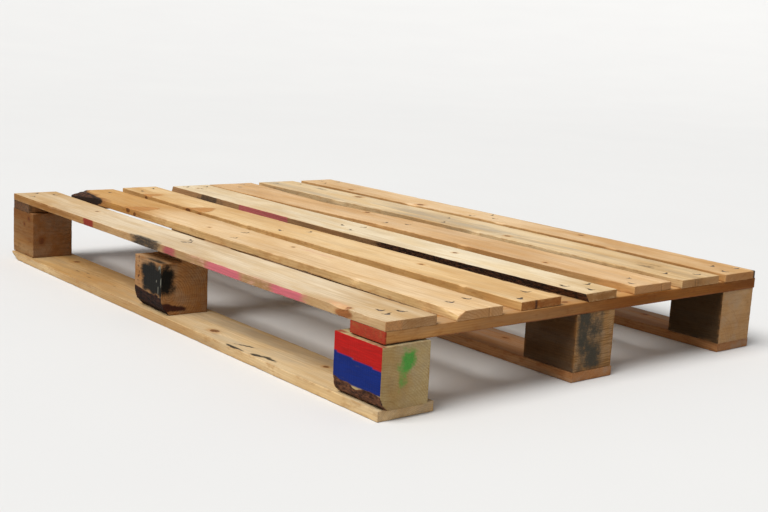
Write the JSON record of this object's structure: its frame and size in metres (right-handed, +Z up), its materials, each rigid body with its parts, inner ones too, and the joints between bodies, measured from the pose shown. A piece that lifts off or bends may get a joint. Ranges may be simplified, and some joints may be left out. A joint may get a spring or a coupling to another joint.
{
  "type": "wooden pallet",
  "caption": "Four-way wooden block pallet: slatted deck on crosswise stringer boards, blocks and lengthwise bottom runners, nailed together, open underneath for forks.",
  "frame": {"origin": "middle of the footprint, on the floor under the runners", "axes": "+X along the deck boards, +Y across them from front to back, +Z up"},
  "size_m": [1.21, 0.8102, 0.133],
  "materials": {
    "deck_wood": "rough sawn, dry",
    "stringer_wood": "rough sawn, dry",
    "block_wood": "rough sawn, dry",
    "runner_wood": "rough sawn, weathered",
    "nail_steel": "dull, lightly rusted"
  },
  "bodies": {
    "root": {"deck_board_1": "deck_wood", "deck_board_2": "deck_wood", "deck_board_3": "deck_wood", "deck_board_4": "deck_wood", "deck_board_5": "deck_wood", "deck_board_6": "deck_wood", "deck_board_7": "deck_wood", "stringer_left": "stringer_wood", "stringer_middle": "stringer_wood", "stringer_right": "stringer_wood", "block_front_left": "block_wood", "block_front_middle": "block_wood", "block_front_right": "block_wood", "block_centre_left": "block_wood", "block_centre_middle": "block_wood", "block_centre_right": "block_wood", "block_back_left": "block_wood", "block_back_middle": "block_wood", "block_back_right": "block_wood", "runner_front": "runner_wood", "runner_centre": "runner_wood", "runner_back": "runner_wood", "nails_deck_1": "nail_steel", "nails_deck_2": "nail_steel", "nails_deck_3": "nail_steel", "nails_deck_4": "nail_steel", "nails_deck_5": "nail_steel", "nails_deck_6": "nail_steel", "nails_deck_7": "nail_steel", "nails_runner_front": "nail_steel", "nails_runner_centre": "nail_steel", "nails_runner_back": "nail_steel"}
  },
  "joints": []
}
